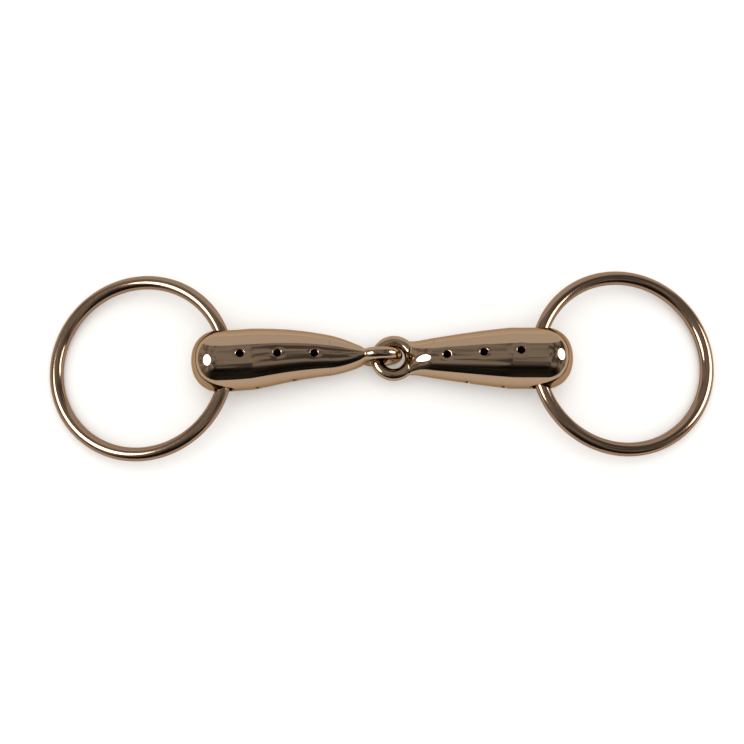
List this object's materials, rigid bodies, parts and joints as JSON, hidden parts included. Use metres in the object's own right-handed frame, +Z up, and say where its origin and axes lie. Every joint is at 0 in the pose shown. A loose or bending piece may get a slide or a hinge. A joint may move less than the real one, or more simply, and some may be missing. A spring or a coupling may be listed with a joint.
{
  "type": "snaffle bit",
  "caption": "Loose-ring snaffle bit with a thick, hollow, single-jointed mouthpiece perforated with air holes, in polished copper-coloured metal.",
  "frame": {"origin": "on the surface that the bit lies on, under the middle of the box around it", "axes": "+X along the mouthpiece towards the right ring, +Y towards the cheekpiece side of the rings, +Z up from the surface"},
  "size_m": [0.2684, 0.078, 0.0254],
  "materials": {
    "barrel": "pressed copper-coloured alloy sheet, welded and mirror polished",
    "joint": "forged copper-coloured alloy, mirror polished",
    "ring": "drawn round wire of copper-coloured alloy, polished",
    "liner": "copper-coloured alloy tube, plain drawn finish"
  },
  "bodies": {
    "right_half": {"right_cheek_side_shell": "barrel", "right_rein_side_shell": "barrel", "right_joint_eye": "joint"},
    "left_half": {"left_cheek_side_shell": "barrel", "left_rein_side_shell": "barrel", "left_joint_eye": "joint"},
    "left_liner": {"left_ring_liner": "liner"},
    "left_loose_ring": {"left_ring": "ring"},
    "right_liner": {"right_ring_liner": "liner"},
    "right_loose_ring": {"right_ring": "ring"}
  },
  "joints": [
    {"name": "mouth_fold", "type": "hinge", "parent": "right_half", "child": "left_half", "pos_m": [-0.00203, 0.0027, 0.0081], "axis": [0.0175, 0.9998, 0], "range_deg": [-135, 110]},
    {"name": "left_ring_swing", "type": "hinge", "parent": "left_half", "child": "left_liner", "pos_m": [-0.06277, 0.0005, 0.01282], "axis": [0.0436, -0.999, 0], "range_deg": [-176.7, 153.3]},
    {"name": "left_ring_spin", "type": "hinge", "parent": "left_liner", "child": "left_loose_ring", "pos_m": [-0.09654, -0.00098, 0.00787], "axis": [-0.145, -0.0063, 0.9894], "continuous": true},
    {"name": "right_ring_swing", "type": "hinge", "parent": "right_half", "child": "right_liner", "pos_m": [0.06277, 0.00157, 0.013], "axis": [0.0175, 0.9998, 0], "range_deg": [-177.8, 152.2]},
    {"name": "right_ring_spin", "type": "hinge", "parent": "right_liner", "child": "right_loose_ring", "pos_m": [0.09655, 0.00098, 0.00796], "axis": [0.1477, -0.0026, 0.989], "continuous": true}
  ]
}
